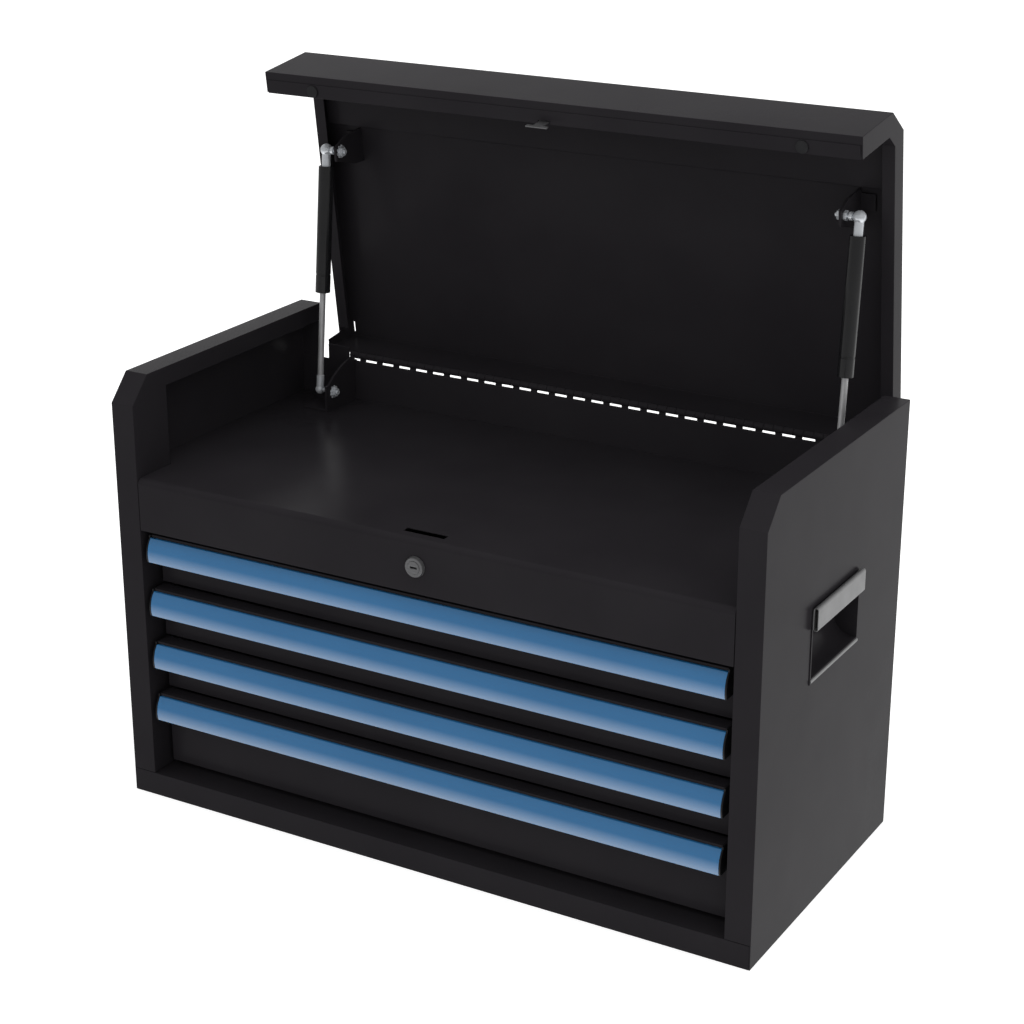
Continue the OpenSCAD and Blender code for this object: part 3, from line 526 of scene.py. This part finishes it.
# the folded lip along the bottom of each handle cup, coloured satin grey as a painted highlight along its
# rolled edge
cupLipHighlight = {"outline": [(-0.4, 0), (1.1, 0.2), (1.7, 0.9), (1.9, 1.8), (1.7, 2.7), (1.1, 3.4), (-0.4, 3.6)],
          "up": 1.2, "rim": 0.8, "short": 0.5, "edge": 0.25}
cupLow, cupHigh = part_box("handle_cups")
for side, sign in sides.items():
    work = bmesh.new()
    ends = [[work.verts.new((sign * (cupHigh.x - cupLipHighlight["rim"] * mm + out * mm), y,
                             cupLow.z + (cupLipHighlight["up"] + up) * mm)) for out, up in cupLipHighlight["outline"]]
            for y in (cupLow.y + cupLipHighlight["short"] * mm, cupHigh.y - cupLipHighlight["short"] * mm)]
    for corners in ends:
        work.faces.new(corners)
    for k in range(len(cupLipHighlight["outline"])):
        work.faces.new((ends[0][k - 1], ends[0][k], ends[1][k], ends[1][k - 1]))
    bmesh.ops.recalc_face_normals(work, faces=work.faces)
    # satin grey here is a painted highlight on the lip, which is black body paint on the cup
    asPiece(side + "_cup_lip_highlight", rounded(meshFrom(work, side + "Lip"), cupLipHighlight["edge"] * mm), handleGrey,
            "cabinet")
print("cup lips made")

# floor, light and camera
stage = {"floorSize": 30.0, "floorColour": 0.86, "glow": 0.62, "worldLight": 0.80,
         "nearFloor": 1.5, "farFloor": 0.24, "nearToFar": (-0.78, -0.08), "sweep": 1.0,
         "sweepFrom": (0.15, 0.60), "skyTop": 0.14, "sweepToTop": (0.08, 0.62)}

half = stage["floorSize"] / 2
floorMesh = bpy.data.meshes.new("floor")
floorMesh.from_pydata([(-half, -half, 0), (half, -half, 0), (half, half, 0), (-half, half, 0)], [],
                      [(0, 1, 2, 3)])
floor = addObject("floor", floorMesh)


def joined(tree, operation, first, second):
    node = tree.nodes.new("ShaderNodeMath")
    node.operation = operation
    for socket, value in zip(node.inputs, (first, second)):
        if isinstance(value, float):
            socket.default_value = value
        else:
            tree.links.new(value, socket)
    return node.outputs["Value"]


floorPaint = bpy.data.materials.new("pale floor")
floorPaint.use_nodes = True
tree = floorPaint.node_tree
tree.nodes.clear()
output = tree.nodes.new("ShaderNodeOutputMaterial")
diffuse = tree.nodes.new("ShaderNodeBsdfDiffuse")
diffuse.inputs["Color"].default_value = (stage["floorColour"],) * 3 + (1,)
glow = tree.nodes.new("ShaderNodeEmission")
add = tree.nodes.new("ShaderNodeAddShader")
ray = tree.nodes.new("ShaderNodeLightPath")
seen = joined(tree, "MAXIMUM", ray.outputs["Is Camera Ray"], ray.outputs["Is Transmission Ray"])
tree.links.new(joined(tree, "MULTIPLY", seen, stage["glow"]), glow.inputs["Strength"])
tree.links.new(diffuse.outputs[0], add.inputs[0])
tree.links.new(glow.outputs[0], add.inputs[1])
tree.links.new(add.outputs[0], output.inputs["Surface"])
floorMesh.materials.append(floorPaint)
floor.visible_glossy = False  # reflections read the studio below instead

# the studio as reflections see it: a white sweep behind, grey overhead and behind the camera, and a
# bright floor close in front
world = bpy.data.worlds.new("studio")
scene.world = world
world.use_nodes = True
tree = world.node_tree
tree.nodes.clear()
output = tree.nodes.new("ShaderNodeOutputWorld")
soft = tree.nodes.new("ShaderNodeBackground")
mirrored = tree.nodes.new("ShaderNodeBackground")
white = tree.nodes.new("ShaderNodeBackground")
for background, strength in ((soft, stage["worldLight"]), (mirrored, 1.0), (white, 1.0)):
    background.inputs["Color"].default_value = (1, 1, 1, 1)
    background.inputs["Strength"].default_value = strength
where = tree.nodes.new("ShaderNodeTexCoord")
way = tree.nodes.new("ShaderNodeSeparateXYZ")
tree.links.new(where.outputs["Generated"], way.inputs["Vector"])
near = spread(tree, way.outputs["Z"], stage["nearFloor"], stage["farFloor"], *stage["nearToFar"])
sweep = joined(tree, "MULTIPLY",
               spread(tree, way.outputs["Y"], 0.0, stage["sweep"], *stage["sweepFrom"]),
               spread(tree, way.outputs["Z"], 1.0, stage["skyTop"], *stage["sweepToTop"]))
sky = joined(tree, "MAXIMUM", joined(tree, "MAXIMUM", near, sweep), stage["skyTop"])
tree.links.new(sky, mirrored.inputs["Strength"])
ray = tree.nodes.new("ShaderNodeLightPath")
inReflection = tree.nodes.new("ShaderNodeMixShader")
seen = tree.nodes.new("ShaderNodeMixShader")
tree.links.new(ray.outputs["Is Glossy Ray"], inReflection.inputs["Fac"])
tree.links.new(soft.outputs[0], inReflection.inputs[1])
tree.links.new(mirrored.outputs[0], inReflection.inputs[2])
tree.links.new(joined(tree, "MAXIMUM", ray.outputs["Is Camera Ray"], ray.outputs["Is Transmission Ray"]),
               seen.inputs["Fac"])
tree.links.new(inReflection.outputs[0], seen.inputs[1])
tree.links.new(white.outputs[0], seen.inputs[2])
tree.links.new(seen.outputs[0], output.inputs["Surface"])


def softbox(name, place, target, size, power):
    light = bpy.data.lights.new(name, "AREA")
    light.shape = "RECTANGLE"
    light.size, light.size_y = size
    light.energy = power
    lamp = addObject(name, light)
    lamp.location = place
    lamp.rotation_euler = (Vector(target) - Vector(place)).to_track_quat("-Z", "Y").to_euler()
    lamp.visible_glossy = False


lamps = {"overhead": {"place": (0.4, 0.5, 3.0), "target": (0, 0, 0.3), "size": (2.0, 2.0), "power": 16},
         "side": {"place": (3.4, 0.6, 0.35), "target": (0.3, 0, 0.25), "size": (1.6, 0.5), "power": 4}}
for name, lamp in lamps.items():
    softbox(name, **lamp)

shot = {"place": (1.00499, -1.71263, 1.06020), "azimuth": -30.1966, "down": 20.8595,
        "roll": 0.0389, "lens": 81.0, "sensor": 36.0}
cameraData = bpy.data.cameras.new("camera")
cameraData.sensor_width = shot["sensor"]
cameraData.lens = shot["lens"]
camera = addObject("camera", cameraData)
azimuth, down = math.radians(shot["azimuth"]), math.radians(shot["down"])
forward = Vector((math.sin(azimuth) * math.cos(down), math.cos(azimuth) * math.cos(down),
                  -math.sin(down)))
rolled = Matrix.Rotation(math.radians(shot["roll"]), 4, forward)
camera.matrix_world = (Matrix.Translation(shot["place"]) @ rolled
                       @ forward.to_track_quat("-Z", "Y").to_matrix().to_4x4())
scene.camera = camera
scene.view_settings.view_transform = "Standard"
print("floor, light and camera made")
